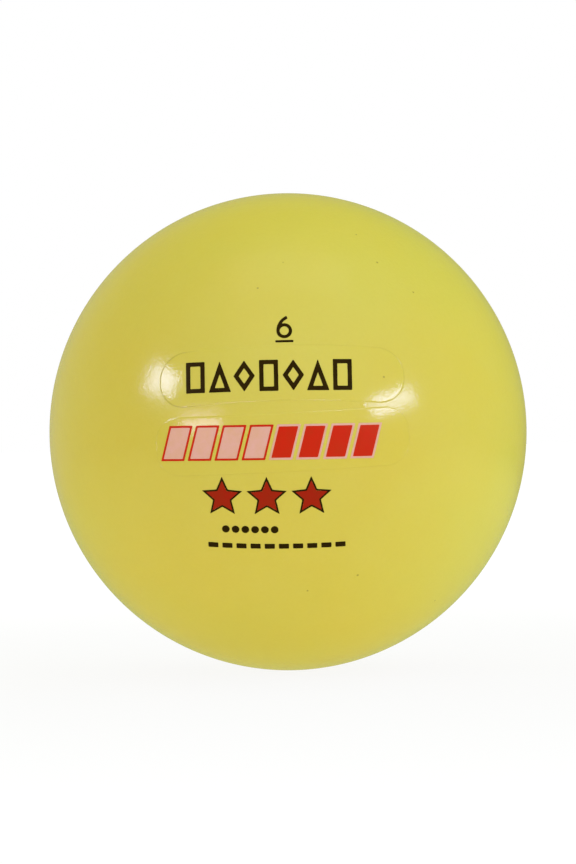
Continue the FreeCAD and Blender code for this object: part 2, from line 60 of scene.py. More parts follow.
# ------------------------------------------------------------------ the ball
RADIUS = 76.2
WALL = 2.0
INNER_RADIUS = RADIUS - WALL
SEAM_RISE = 0.08
SEAM_HALF = 0.42  # half the width of the seam's ridge
SKIN_SEGMENTS = 300
CAP = math.radians(50.0)  # polar reach of the front cap that holds the badge
CAP_STEP = 1.2  # spacing of the points on the cap
SEAM_ROWS = (-0.6, -0.42, -0.34, -0.26, -0.18, -0.1, 0, 0.1, 0.18, 0.26, 0.34, 0.42, 0.6)

PANEL_RISE = 0.12
PANEL_STEP = 0.46  # width over which a panel's edge climbs
EDGE_DIP = 0.035  # how much lower a panel is just inside its edge
EDGE_DIP_REACH = 1.6  # how fast that dip dies out inwards
# Offsets from a panel's outline at which the cap gets a loop of points.
PANEL_LOOPS = (
    -1.15, -0.7, -0.4, -PANEL_STEP / 2, -0.15, -0.07, 0,
    0.07, 0.15, PANEL_STEP / 2, 0.42, 0.8,
)

# Small bumps on the badge side: x, z, height, radius.
PIMPLES = (
    (22.28, 7.45, 0.075, 0.66),
    (-26.2, -2.6, 0.016, 0.50),
    (-25.0, -3.2, 0.014, 0.45),
    (31.0, 44.0, 0.012, 0.50),
    (-41.0, 20.0, 0.010, 0.60),
)
# Rings of points round a bump: reach in bump radii, number of points.
PIMPLE_RINGS = ((0.25, 6), (0.5, 10), (0.8, 14), (1.15, 16), (1.6, 18), (2.2, 18))

# ----------------------------------------------------------------- the valve
FIT = 0.02  # gap between mating parts
HEAD_R = 4.6  # flush head of the valve seat
HEAD_DEPTH = 1.3  # depth of the head's recess in the skin
SHANK_HOLE_R = 3.2  # hole in the skin below the head
BOSS_R = 8.0  # boss inside the ball that holds the seat
BOSS_FOOT_R = 10.9  # where the boss has run out into the inner wall
BOSS_DEPTH = 10.5
BOSS_END = RADIUS - BOSS_DEPTH
FLANGE_END = BOSS_END - 1.6
BORE_R = 2.12  # bore of the seat, filled by the core
GROOVE_R = 2.7
GROOVE_TOP = RADIUS - 5.2
GROOVE_END = RADIUS - 7.2
CORE_TOP = RADIUS - 0.6
NEEDLE_TOP = CORE_TOP - 0.55  # bottom of the dish in the core
NEEDLE_END = NEEDLE_TOP - 6.0

# ----------------------------------------------------------------- the print
INK = 0.034  # how far a film stands above the skin
SUNK = 0.03  # how far a film's underside lies inside the skin
CREEP = 0.05  # width of the thin rounded border of a film
OUTLINE_STEP = 0.22
CORNER_ROUNDING = 0.16
EDGE_WANDER = 0.022
FILM_GRID = 0.8  # spacing of a film's inner points
FILM_GRID_GAP = 0.45  # least distance from them to the border

# Film, ink slot, material. The films are "ink_..." and the CAD nodes "print_...".
FILMS = (
    ("size_numeral", "ink_black", "ink_black"),
    ("shape_row", "ink_black", "ink_black"),
    ("bars_pale", "ink_pale", "ink_pale"),
    ("bars_pale_outline", "ink_red", "ink_red"),
    ("bars_red", "ink_red", "ink_red"),
    ("bars_red_outline", "ink_pale", "ink_pale"),
    ("stars_red", "ink_red", "ink_dark_red"),
    ("stars_outline", "ink_black", "ink_black"),
    ("dot_row", "ink_black", "ink_black"),
    ("dash_row", "ink_black", "ink_black"),
)


# ------------------------------------------------------------- shape helpers
def smooth(amount):
    amount = np.clip(amount, 0.0, 1.0)
    return amount * amount * (3 - 2 * amount)


def turn(axis, degrees):
    """Rotation matrix about axis 0, 1 or 2."""
    first, second = (axis + 1) % 3, (axis + 2) % 3
    angle = math.radians(degrees)
    matrix = np.eye(3)
    matrix[first, first] = matrix[second, second] = math.cos(angle)
    matrix[first, second] = -math.sin(angle)
    matrix[second, first] = math.sin(angle)
    return matrix


def lengths(vectors):
    return np.linalg.norm(vectors, axis=1)


def unit(vectors):
    return vectors / lengths(vectors)[:, None]


def on_front(x, z):
    """Unit direction of the point of the badge side at x, z."""
    return np.array([x, -math.sqrt(RADIUS * RADIUS - x * x - z * z), z]) / RADIUS


def sphere_y(rho, depth=0.0):
    """Height along +Y of the sphere lying depth below the skin, at radius rho."""
    return math.sqrt((RADIUS - depth) ** 2 - rho * rho)


def resample(points, step):
    """Even points along a closed polyline."""
    closed = np.vstack([points, points[:1]])
    run = np.concatenate([[0], np.cumsum(lengths(np.diff(closed, axis=0)))])
    count = max(8, int(round(run[-1] / step)))
    places = np.linspace(0, run[-1], count, endpoint=False)
    return np.stack(
        [np.interp(places, run, closed[:, i]) for i in range(points.shape[1])], 1
    )


def loop_edges(base, count):
    """Edges of a closed loop of count points that starts at index base."""
    return [(base + k, base + (k + 1) % count) for k in range(count)]


class Panel:
    """A raised rounded rectangle on the badge side, turned by angles in degrees.

    Its last argument is the strength of the painted shade line along its outline, at the left,
    middle and right.
    """

    def __init__(self, swing, pitch, tilt, width, height, corner, edge_shade):
        self.width, self.height, self.corner = width, height, corner
        self.edge_shade = edge_shade
        axes = turn(2, swing) @ turn(1, -tilt) @ turn(0, -pitch)
        self.right, self.out, self.up = axes[:, 0], -axes[:, 1], axes[:, 2]

    def distance(self, dirs):
        """Signed distance from the panel's outline, negative inside."""
        side = np.abs(dirs @ self.right) * RADIUS - self.width / 2 + self.corner
        rise_up = np.abs(dirs @ self.up) * RADIUS - self.height / 2 + self.corner
        beyond = np.hypot(np.maximum(side, 0), np.maximum(rise_up, 0))
        signed = beyond + np.minimum(np.maximum(side, rise_up), 0) - self.corner
        far = 50.0  # for the back of the ball
        return np.where(dirs @ self.out > 0.2, signed, far)

    def loop(self, offset, step):
        """Unit directions along the outline, grown by offset."""
        corner = max(self.corner + offset, 0.2)
        half_width = self.width / 2 + offset - corner
        half_height = self.height / 2 + offset - corner
        count = max(6, int(corner * math.pi / 2 / step))
        points = []
        for side, end, start in ((1, -1, -90), (1, 1, 0), (-1, 1, 90), (-1, -1, 180)):
            for i in range(count + 1):
                angle = math.radians(start + 90 * i / count)
                points.append((
                    side * half_width + corner * math.cos(angle),
                    end * half_height + corner * math.sin(angle),
                ))
        points = resample(np.array(points), step)
        depth = np.sqrt(RADIUS * RADIUS - points[:, 0] ** 2 - points[:, 1] ** 2)
        placed = points[:, :1] * self.right + points[:, 1:] * self.up
        return (placed + depth[:, None] * self.out) / RADIUS


# The last argument of each panel is the strength of the painted shade line round it.
PANELS = (
    Panel(swing=-1.2, pitch=13.3, tilt=0.5, width=72.4, height=16.7, corner=7.9,
          edge_shade=(0.70, 0.05, 0.28)),
    Panel(swing=-1.5, pitch=-2.4, tilt=2.0, width=75.0, height=17.2, corner=7.0,
          edge_shade=(0.10, 0.03, 0.10)),
)
# Each bump as unit direction, height, radius.
BUMPS = [(on_front(x, z), height, radius) for x, z, height, radius in PIMPLES]


def climb(distance):
    """0 outside a panel, 1 inside, smooth across its edge."""
    return smooth(0.5 - distance / PANEL_STEP)


def rise(dirs):
    """Height of the moulded skin above the sphere, for unit directions."""
    total = np.zeros(len(dirs))
    for panel in PANELS:
        distance = panel.distance(dirs)
        step = climb(distance)
        dip = EDGE_DIP * np.exp(-np.clip(-distance, 0, 50) / EDGE_DIP_REACH) * (distance < 0)
        total = np.maximum(total, PANEL_RISE * step - dip * step)
    for centre, height, radius in BUMPS:
        distance = lengths(dirs - centre) * RADIUS
        total += height * np.exp(-((distance / radius) ** 2))
    from_seam = np.abs(np.arcsin(np.clip(dirs[:, 1], -1, 1))) * RADIUS
    total += SEAM_RISE * smooth(1 - from_seam / SEAM_HALF)
    return total


def skin_normals(dirs):
    """Normals of the displaced sphere, from the slope of its height."""
    reach = 0.02
    reference = np.where(np.abs(dirs[:, 2:3]) < 0.9, [[0.0, 0.0, 1.0]], [[1.0, 0.0, 0.0]])
    tangent = unit(np.cross(reference, dirs))
    binormal = np.cross(dirs, tangent)

    def slope(axis):
        behind = unit(dirs - axis * reach / RADIUS)
        ahead = unit(dirs + axis * reach / RADIUS)
        return ((rise(ahead) - rise(behind)) / (2 * reach))[:, None]

    return unit(dirs - tangent * slope(tangent) - binormal * slope(binormal))


# The chart unrolls the ball about its front point: distances from that point
# and the directions round it are true.
def to_chart(dirs):
    theta = np.arccos(np.clip(-dirs[:, 1], -1, 1))
    flat = np.hypot(dirs[:, 0], dirs[:, 2])
    scale = np.where(flat > 1e-9, theta / np.maximum(flat, 1e-9), 1.0) * RADIUS
    return np.stack([dirs[:, 0] * scale, dirs[:, 2] * scale], 1)


def from_chart(chart):
    reach = np.hypot(chart[:, 0], chart[:, 1])
    theta = reach / RADIUS
    scale = np.where(reach > 1e-9, np.sin(theta) / np.maximum(reach, 1e-9), 1 / RADIUS)
    return np.stack([chart[:, 0] * scale, -np.cos(theta), chart[:, 1] * scale], 1)


def triangulate(points, edges):
    """Constrained Delaunay triangles of 2-D points. Returns points, triangles
    and, for every input point, its index in the output."""
    verts, _, faces, origins, _, _ = delaunay_2d_cdt(
        [Vector((float(x), float(y))) for x, y in points],
        [tuple(map(int, edge)) for edge in edges],
        [],
        0,
        1e-6,
    )
    placed = np.array([(vert.x, vert.y) for vert in verts])
    index = np.full(len(points), -1)
    for i, sources in enumerate(origins):
        for source in sources:
            index[source] = i
    return placed, np.array(faces, int), index


# -------------------------------------------------------------- mesh helpers
def outward(verts, faces):
    """The faces of a closed mesh, all turned outwards."""
    bm = bmesh.new()
    bm_verts = [bm.verts.new(vert) for vert in verts]
    for face in faces:
        bm.faces.new([bm_verts[i] for i in face])
    bm.verts.index_update()
    bmesh.ops.recalc_face_normals(bm, faces=bm.faces)
    turned = [tuple(vert.index for vert in face.verts) for face in bm.faces]
    if bm.calc_volume(signed=True) < 0:
        turned = [face[::-1] for face in turned]
    bm.free()
    return turned


def make_object(name, verts, faces, normals=None):
    """A smooth closed object from vertices in mm."""
    mesh = bpy.data.meshes.new(name)
    mesh.from_pydata((np.asarray(verts) * MM).tolist(), [], outward(verts, faces))
    mesh.update()
    mesh.polygons.foreach_set("use_smooth", [True] * len(mesh.polygons))
    if normals is not None:
        mesh.normals_split_custom_set_from_vertices(normals.tolist())
    mesh.update()
    obj = bpy.data.objects.new(name, mesh)
    bpy.context.scene.collection.objects.link(obj)
    return obj


def register(obj, node):
    """Parents the object to the root body and hides the CAD node it stands for."""
    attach(obj, "root")
    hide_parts(node)


def rounded_profile(corners):
    """A (rho, y) polyline from corners, which are sharp as (rho, y) or rounded
    as (rho, y, radius, steps)."""
    profile = [corners[0]]
    for before, corner, after in zip(corners, corners[1:], corners[2:]):
        if len(corner) == 2:
            profile.append(corner)
            continue
        radius, steps = corner[2:]
        point = np.array(corner[:2], float)
        back = np.array(before[:2], float) - point
        ahead = np.array(after[:2], float) - point
        back_length, ahead_length = np.linalg.norm(back), np.linalg.norm(ahead)
        back, ahead = back / back_length, ahead / ahead_length
        half = math.acos(max(-1, min(1, float(back @ ahead)))) / 2
        # a rounding takes up less than half of either side
        trim = min(radius / math.tan(half), 0.48 * back_length, 0.48 * ahead_length)
        radius = trim * math.tan(half)
        start, end = point + back * trim, point + ahead * trim
        bisector = (back + ahead) / np.linalg.norm(back + ahead)
        centre = point + bisector * (radius / math.sin(half))
        angle = math.atan2(start[1] - centre[1], start[0] - centre[0])
        sweep_to = math.atan2(end[1] - centre[1], end[0] - centre[0])
        while sweep_to - angle > math.pi:
            sweep_to -= 2 * math.pi
        while sweep_to - angle < -math.pi:
            sweep_to += 2 * math.pi
        profile.append(tuple(start))
        for i in range(1, steps + 1):
            at = angle + (sweep_to - angle) * i / steps
            profile.append(
                (centre[0] + radius * math.cos(at), centre[1] + radius * math.sin(at))
            )
    profile.append(corners[-1])
    return profile


def spin(rho, y, count):
    """A ring of points or vectors about the Y axis."""
    angles = [2 * math.pi * k / count for k in range(count)]
    return [(rho * math.cos(angle), y, rho * math.sin(angle)) for angle in angles]


def lathe(profile, count, closed=False):
    """Vertices, faces and rings of a (rho, y) polyline turned about +Y."""
    verts, rings, faces = [], [], []
    for rho, y in profile:
        ring = [(0, y, 0)] if rho < 1e-6 else spin(rho, y, count)
        rings.append(list(range(len(verts), len(verts) + len(ring))))
        verts += ring
    pairs = list(zip(rings, rings[1:]))
    if closed:
        pairs.append((rings[-1], rings[0]))
    for first, second in pairs:
        for k in range(count):
            j = (k + 1) % count
            if len(first) == 1:
                faces.append((first[0], second[j], second[k]))
            elif len(second) == 1:
                faces.append((first[k], first[j], second[0]))
            else:
                faces.append((first[k], first[j], second[j], second[k]))
    return verts, faces, rings


# ------------------------------------------------------------------ the skin
def cap_grid():
    """Even staggered points over the cap, clear of panel edges and bumps."""
    count = int(RADIUS * CAP / CAP_STEP) + 2
    grid = []
    for j in range(-count, count + 1):
        for i in range(-count, count + 1):
            x, z = (i + 0.5 * (j % 2)) * CAP_STEP, j * CAP_STEP * 0.866
            if math.hypot(x, z) < RADIUS * CAP - 0.7 * CAP_STEP:
                grid.append((x, z))
    grid = np.array(grid)
    dirs = from_chart(grid)
    keep = np.ones(len(grid), bool)
    for panel in PANELS:
        keep &= np.abs(panel.distance(dirs)) > 1.5
    for centre, _, radius in BUMPS:
        keep &= lengths(dirs - centre) * RADIUS > 2.2 * radius + 0.5
    return grid[keep]


def bump_points(direction, radius):
    """Chart points in rings round a bump."""
    centre = to_chart(direction[None])[0]
    points = [centre]
    for reach, count in PIMPLE_RINGS:
        for k in range(count):
            angle = 2 * math.pi * (k + 0.5 * (count % 4 > 1)) / count
            spoke = np.array([math.cos(angle), math.sin(angle)])
            points.append(centre + radius * reach * spoke)
    return np.array(points)


def build_cap():
    """The front cap: unit directions, triangles and the indices of its rim."""
    reach = RADIUS * CAP
    rim = [(x, z) for x, _, z in spin(reach, 0, SKIN_SEGMENTS)]
    sets = [np.array(rim), cap_grid()]
    edges = loop_edges(0, SKIN_SEGMENTS)
    for panel, other in zip(PANELS, PANELS[::-1]):
        for offset in PANEL_LOOPS:
            loop = panel.loop(offset, 0.55)
            if offset > 0.3:  # the outer loops keep off the other panel's edge
                loop = loop[other.distance(loop) > 0.9]
            if offset in (-PANEL_STEP / 2, 0, PANEL_STEP / 2):
                edges += loop_edges(sum(map(len, sets)), len(loop))
            sets.append(to_chart(loop))
    for direction, _, radius in BUMPS:
        sets.append(bump_points(direction, radius))
    chart, tris, index = triangulate(np.vstack(sets), edges)
    dirs = from_chart(chart)
    # one winding for all: outwards
    one, two, three = (dirs[tris[:, i]] for i in range(3))
    facing = np.einsum("ij,ij->i", np.cross(two - one, three - one), one + two + three)
    flip = facing < 0
    tris[flip] = tris[flip][:, ::-1]
    return dirs, tris, index[:SKIN_SEGMENTS]


def meridian(radius, angles):
    """Profile points of a sphere, by their angle from the front point."""
    return [(radius * math.sin(angle), -radius * math.cos(angle)) for angle in angles]


def skin_profile():
    """The turned part's profile: from the cap's rim back over the outside,
    through the valve hole and forward along the inner wall. Also returns how
    many of its points lie on the outside."""
    row_step = 1.6 / RADIUS
    seam = math.pi / 2
    seam_margin = 0.9 / RADIUS
    end = math.pi - math.asin((HEAD_R + 0.30) / RADIUS)
    count = int((seam - SEAM_HALF / RADIUS - CAP) / row_step)
    angles = list(np.linspace(CAP, seam - seam_margin, count))
    angles += [seam + offset / RADIUS for offset in SEAM_ROWS]
    count = int((end - seam) / row_step)
    angles += list(np.linspace(seam + seam_margin, end, count))
    outside = meridian(RADIUS, angles)

    recess_r = HEAD_R + 0.06
    recess_y = RADIUS - HEAD_DEPTH
    valve_hole = rounded_profile([
        outside[-1],
        (recess_r, sphere_y(HEAD_R), 0.16, 5),
        (recess_r, recess_y, 0.05, 1),
        (SHANK_HOLE_R, recess_y, 0.05, 1),
        (SHANK_HOLE_R, BOSS_END, 0.15, 2),
        (BOSS_R, BOSS_END, 0.8, 5),
        (BOSS_R, sphere_y(BOSS_R, WALL), 2.5, 8),
        (BOSS_FOOT_R, sphere_y(BOSS_FOOT_R, WALL)),
    ])[1:]

    start = math.pi - math.asin(BOSS_FOOT_R / INNER_RADIUS)
    last = 0.03  # angle of the last ring before the axis
    count = int((start - last) / (2.6 / INNER_RADIUS))
    inside = meridian(INNER_RADIUS, np.linspace(start, last, count)[1:])
    return outside + valve_hole + inside + [(0.0, -INNER_RADIUS)], len(outside)


def profile_normal(before, point, after):
    """Normal at a profile point, halfway between those of its two sides."""
    total = np.zeros(2)
    for side in (point - before, after - point):
        normal = np.array([side[1], -side[0]])
        total = total + normal / np.linalg.norm(normal)
    return total / np.linalg.norm(total)


def skin_geometry():
    """Vertices, faces and normals of the turned part joined to the cap."""
    profile, outside_rows = skin_profile()
    verts, faces, rings = lathe(profile, SKIN_SEGMENTS)
    verts = np.array(verts)
    normals = np.zeros_like(verts)
    outside = outside_rows * SKIN_SEGMENTS
    dirs = unit(verts[:outside])
    verts[:outside] = dirs * (RADIUS + rise(dirs))[:, None]
    normals[:outside] = skin_normals(dirs)
    points = np.array(profile)
    for row in range(outside_rows, len(points) - 1):
        rho, y = profile_normal(*points[row - 1 : row + 2])
        normals[rings[row]] = spin(rho, y, SKIN_SEGMENTS)
    normals[-1] = (0, 1, 0)

    # the cap shares the vertices of the turned part's first ring
    cap_dirs, cap_tris, cap_rim = build_cap()
    own = np.ones(len(cap_dirs), bool)
    own[cap_rim] = False
    remap = np.zeros(len(cap_dirs), int)
    remap[cap_rim] = rings[0]
    remap[own] = len(verts) + np.arange(own.sum())
    faces += [tuple(int(remap[i]) for i in tri) for tri in cap_tris]
    cap_verts = cap_dirs * (RADIUS + rise(cap_dirs))[:, None]
    verts = np.vstack([verts, cap_verts[own]])
    normals = np.vstack([normals, skin_normals(cap_dirs)[own]])
    return verts, faces, normals


def outline_strength(panel, dirs):
    """The painted shade line round a panel, which changes from left to middle to right."""
    across = dirs @ panel.right * RADIUS
    left, middle, right = panel.edge_shade
    change_at, change_over = 23.0, 10.0
    strength = (
        middle
        + (left - middle) * smooth((-across - change_at) / change_over)
        + (right - middle) * smooth((across - change_at) / change_over)
    )
    place, width = 0.02, 0.17
    return strength * np.exp(-(((panel.distance(dirs) - place) / width) ** 2))


def build_skin():
    verts, faces, normals = skin_geometry()
    skin = make_object("skin_moulded", verts, faces, normals)
    dirs = unit(verts)
    outside = lengths(verts) > RADIUS - 0.5
    polish, outline = np.zeros(len(verts)), np.zeros(len(verts))
    for panel in PANELS:
        polish = np.maximum(polish, climb(panel.distance(dirs)))
        # the outline mask carries the painted shade line round the panels
        outline = np.maximum(outline, outline_strength(panel, dirs))
    for name, values in (("polish", polish), ("outline", outline)):
        attribute = skin.data.attributes.new(name, "FLOAT", "POINT")
        attribute.data.foreach_set("value", (values * outside).astype(np.float32))
    register(skin, "ball_skin")
    return skin


# ----------------------------------------------------------------- the valve
def build_seat():
    """The valve seat: flush head with a fine groove round the bore, shank and
    inner flange."""
    head_edge = HEAD_R - 0.04
    head_end = RADIUS - (HEAD_DEPTH - FIT)
    shank_r = SHANK_HOLE_R - FIT
    flange_top = RADIUS - (BOSS_DEPTH + FIT)
    profile = rounded_profile([
        (BORE_R, FLANGE_END),
        (BORE_R, GROOVE_END),
        (GROOVE_R, GROOVE_END),
        (GROOVE_R, GROOVE_TOP),
        (BORE_R, GROOVE_TOP),
        (BORE_R, sphere_y(BORE_R), 0.22, 5),
        (2.75, sphere_y(2.75), 0.10, 2),
        (3.05, sphere_y(3.05, 0.10), 0.12, 3),
        (3.35, sphere_y(3.35), 0.10, 2),
        (head_edge, sphere_y(HEAD_R), 0.18, 5),
        (head_edge, head_end, 0.04, 1),
        (shank_r, head_end, 0.04, 1),
        (shank_r, flange_top),
        (4.8, flange_top, 0.2, 3),
        (4.0, FLANGE_END, 0.3, 3),
        (BORE_R, FLANGE_END),
    ])[:-1]
    verts, faces, _ = lathe(profile, 128, closed=True)
    seat = make_object("valve_seat_moulded", verts, faces)
    register(seat, "valve_seat")
    return seat


def build_core():
    """The valve core: a plug with a dished top, a blind hole and a collar."""
    core_r = BORE_R - FIT
    collar_r = GROOVE_R - FIT
    hole_r = 1.05
    tip = FLANGE_END - 3.0
    profile = rounded_profile([
        (0, NEEDLE_END),
        (hole_r, NEEDLE_END, 0.2, 2),
        (hole_r, NEEDLE_TOP, 0.25, 4),
        (1.6, CORE_TOP, 0.25, 5),
        (core_r, CORE_TOP, 0.16, 5),
        (core_r, GROOVE_TOP),
        (collar_r, GROOVE_TOP, 0.1, 1),
        (collar_r, GROOVE_END, 0.1, 1),
        (core_r, GROOVE_END),
        (core_r, FLANGE_END, 0.3, 3),
        (1.5, tip, 0.4, 4),
        (0, tip),
    ])
    verts, faces, _ = lathe(profile, 96)
    core = make_object("valve_core_moulded", verts, faces)
    register(core, "valve_core")
    return core


# ----------------------------------------------------------------- the print
def outer_sides(mesh):
    """Welded vertices in mm, and the boundary sides of a CAD film's top face."""
    points = np.zeros(len(mesh.vertices) * 3)
    mesh.vertices.foreach_get("co", points)
    points = points.reshape(-1, 3) / MM
    _, first, weld = np.unique(
        np.round(points, 4), axis=0, return_index=True, return_inverse=True
    )
    points = points[first]
    mesh.calc_loop_triangles()
    tris = np.zeros(len(mesh.loop_triangles) * 3, int)
    mesh.loop_triangles.foreach_get("vertices", tris)
    tris = weld.reshape(-1)[tris.reshape(-1, 3)]
    tris = tris[(tris != np.roll(tris, 1, axis=1)).all(axis=1)]
    radii = lengths(points)
    middle = (radii.min() + radii.max()) / 2
    top = tris[(radii[tris] > middle).all(axis=1)].tolist()
    sides = [(tri[i], tri[(i + 1) % 3]) for tri in top for i in range(3)]
    uses = Counter(tuple(sorted(side)) for side in sides)
    return points, [side for side in sides if uses[tuple(sorted(side))] == 1]


def ink_outlines(node):
    """The outlines of a CAD ink film, as closed loops of unit directions."""
    points, sides = outer_sides(cad_nodes[node].data)
    follow = {}
    for start, end in sides:
        follow.setdefault(start, []).append(end)
    loops = []
    while follow:
        start = here = min(follow)
        loop = []
        while here in follow:
            loop.append(here)
            following = follow[here].pop()
            if not follow[here]:
                del follow[here]
            here = following
            if here == start:
                break
        if len(loop) > 2:
            loops.append(unit(points[loop]))
    return loops


def area(loop):
    x, y = loop[:, 0], loop[:, 1]
    return 0.5 * float(np.sum(x * np.roll(y, -1) - y * np.roll(x, -1)))


def soften(loop):
    """Rounds a loop's corners by smoothing along it."""
    reach = int(3 * CORNER_ROUNDING / OUTLINE_STEP) + 1
    shifts = np.arange(-reach, reach + 1)
    weights = np.exp(-0.5 * (shifts * OUTLINE_STEP / CORNER_ROUNDING) ** 2)
    weights /= weights.sum()
    softened = np.zeros_like(loop)
    for shift, weight in zip(shifts, weights):
        softened += weight * np.roll(loop, shift, axis=0)
    return softened


def loop_normals(loop):
    """Unit normals that point out of the ink, with the ink on the left."""
    along = np.roll(loop, -1, 0) - np.roll(loop, 1, 0)
    along /= np.maximum(np.linalg.norm(along, axis=1, keepdims=True), 1e-9)
    return np.stack([along[:, 1], -along[:, 0]], 1)


def even(values):
    """Evens out values along a closed loop."""
    return (np.roll(values, 1, 0) + 2 * values + np.roll(values, -1, 0)) / 4


def inside_loops(points, loops):
    """Even-odd test of points against closed loops."""
    inside = np.zeros(len(points), bool)
    chunk = 4000  # points at a time, to bound the memory
    for loop in loops:
        x0, y0 = loop[:, 0], loop[:, 1]
        x1, y1 = np.roll(x0, -1), np.roll(y0, -1)
        for start in range(0, len(points), chunk):
            x = points[start : start + chunk, 0][:, None]
            y = points[start : start + chunk, 1][:, None]
            spans = (y0 > y) != (y1 > y)
            with np.errstate(divide="ignore", invalid="ignore"):
                crossing = (x1 - x0) * (y - y0) / (y1 - y0) + x0
            hits = spans & (x < crossing)
            inside[start : start + chunk] ^= (hits.sum(1) % 2).astype(bool)
    return inside


def wobble(loop, seed):
    """A printed edge is never quite straight: slow and fine wander."""
    generator = np.random.default_rng(seed)
    count = len(loop)
    around = np.arange(count) / count * 2 * math.pi
    noise = np.zeros(count)
    # fewest waves, points per wave, share of the wander
    for fewest, spacing, share in ((2, 60, 0.5), (3, 18, 0.35), (5, 7, 0.25)):
        waves = max(fewest, count // spacing)
        phase = generator.uniform(0, 2 * math.pi)
        warp = generator.uniform(0.7, 1.3)
        noise += share * np.sin(
            around * waves + phase + warp * np.sin(around * 3 + phase)
        )
    return loop + loop_normals(loop) * (noise * EDGE_WANDER)[:, None]


def printed_loops(node, seed):
    """Outer loops and hole loops of a film in the chart, largest first."""
    loops = [to_chart(loop) for loop in ink_outlines(node)]
    outers, holes = [], []
    for i in sorted(range(len(loops)), key=lambda i: -abs(area(loops[i]))):
        hole = inside_loops(loops[i][:1], loops[:i] + loops[i + 1 :])[0]
        loop = resample(loops[i], OUTLINE_STEP)
        if (area(loop) < 0) != hole:
            loop = loop[::-1]
        loop = wobble(soften(loop), seed * 100 + i)
        (outers if area(loop) > 0 else holes).append(loop)
    return outers, holes


def film_grid(insets):
    """Corners of the box round the first of a patch's inset loops."""
    low, high = insets[0].min(0), insets[0].max(0)
    return low, high


def film_surface(loops, insets):
    """Chart points, triangles and border indices of a patch of ink."""
    low, high = loops[0].min(0), loops[0].max(0)
    columns, rows = np.meshgrid(
        *(np.arange(low[i], high[i] + FILM_GRID, FILM_GRID) for i in range(2))
    )
    grid = np.stack([columns.ravel(), rows.ravel()], 1)
    rim = np.vstack(insets)
    near = np.array(
        [np.min(np.hypot(rim[:, 0] - x, rim[:, 1] - y)) for x, y in grid]
    )
    grid = grid[inside_loops(grid, insets) & (near > FILM_GRID_GAP)]
    edges = []
    for inset in insets:
        edges += loop_edges(len(edges), len(inset))
    chart, tris, index = triangulate(np.vstack([rim, grid]), edges)
    tris = tris[inside_loops(chart[tris].mean(1), insets)]
    one, two, three = (chart[tris[:, i]] for i in range(3))
    winding = (two[:, 0] - one[:, 0]) * (three[:, 1] - one[:, 1]) - (
        two[:, 1] - one[:, 1]
    ) * (three[:, 0] - one[:, 0])
    solid = np.abs(winding) > 1e-9
    tris, winding = tris[solid], winding[solid]
    tris[winding < 0] = tris[winding < 0][:, ::-1]
    return chart, tris, index


def film_patch(loops):
    """Vertices, normals and faces of one patch of ink, bounded by its outer
    loop and its holes."""
    insets = [loop - even(even(loop_normals(loop))) * CREEP for loop in loops]
    chart, tris, index = film_surface(loops, insets)
    dirs = from_chart(chart)
    base = RADIUS + rise(dirs)
    skin_out = skin_normals(dirs)
    under = len(dirs)
    verts = [dirs * (base + INK)[:, None], dirs * (base - SUNK)[:, None]]
    normals = [skin_out, -skin_out]
    faces = [tuple(tri) for tri in tris.tolist()]
    faces += [tuple(under + i for i in tri[::-1]) for tri in tris.tolist()]
    # the thin border: top rim, shoulder, foot
    shoulder = 2 * under
    offset = 0
    for loop in loops:
        count = len(loop)
        top = index[offset : offset + count].tolist()
        dirs = from_chart(loop)
        base = RADIUS + rise(dirs)
        side = unit(from_chart(loop + loop_normals(loop) * 0.01) - dirs)
        verts += [dirs * (base + INK * 0.45)[:, None], dirs * (base - SUNK)[:, None]]
        normals += [unit(skin_normals(dirs) * 0.6 + side * 0.8), side]
        foot = shoulder + count
        for k, j in loop_edges(0, count):
            faces.append((top[k], shoulder + k, shoulder + j, top[j]))
            faces.append((shoulder + k, foot + k, foot + j, shoulder + j))
            faces.append((under + top[j], foot + j, foot + k, under + top[k]))
        shoulder = foot + count
        offset += count
    return np.vstack(verts), np.vstack(normals), faces


def build_film(film, seed):
    """An ink film that follows the moulded skin."""
    outers, holes = printed_loops("print_" + film, seed)
    verts, normals, faces = [], [], []
    for outer in outers:
        own_holes = [hole for hole in holes if inside_loops(hole[:1], [outer])[0]]
        patch_verts, patch_normals, patch_faces = film_patch([outer] + own_holes)
        base = len(verts)
        verts += list(patch_verts)
        normals += list(patch_normals)
        faces += [tuple(base + i for i in face) for face in patch_faces]
    obj = make_object("ink_" + film, np.array(verts), faces, np.array(normals))
    register(obj, "print_" + film)
    return obj


# ----------------------------------------------------------------- materials
class Shader:
    """Short-hand for building a node tree."""

    def __init__(self, tree):
        self.tree = tree
        tree.nodes.clear()

    def new(self, kind, **props):
        node = self.tree.nodes.new(kind)
        for key, value in props.items():
            setattr(node, key, value)
        return node

    def put(self, socket, value):
        """Links an output to a socket, or sets the socket's value."""
        if isinstance(value, bpy.types.NodeSocket):
            self.tree.links.new(value, socket)
        else:
            socket.default_value = value

    def calc(self, operation, first, second=0.0):
        node = self.new("ShaderNodeMath", operation=operation)
        self.put(node.inputs[0], first)
        self.put(node.inputs[1], second)
        return node.outputs[0]

    def vector(self, operation, *values, output="Value"):
        node = self.new("ShaderNodeVectorMath", operation=operation)
        for socket, value in zip(node.inputs, values):
            self.put(socket, value)
        return node.outputs[output]

    def mix(self, factor, first, second):
        """The first colour at factor 0, the second at 1."""
        node = self.new("ShaderNodeMix", data_type="RGBA")
        self.put(node.inputs["Factor"], factor)
        self.put(node.inputs[6], first)
        self.put(node.inputs[7], second)
        return node.outputs[2]

    def mix_shaders(self, factor, first, second):
        node = self.new("ShaderNodeMixShader")
        for socket, value in zip(node.inputs, (factor, first, second)):
            self.put(socket, value)
        return node.outputs[0]


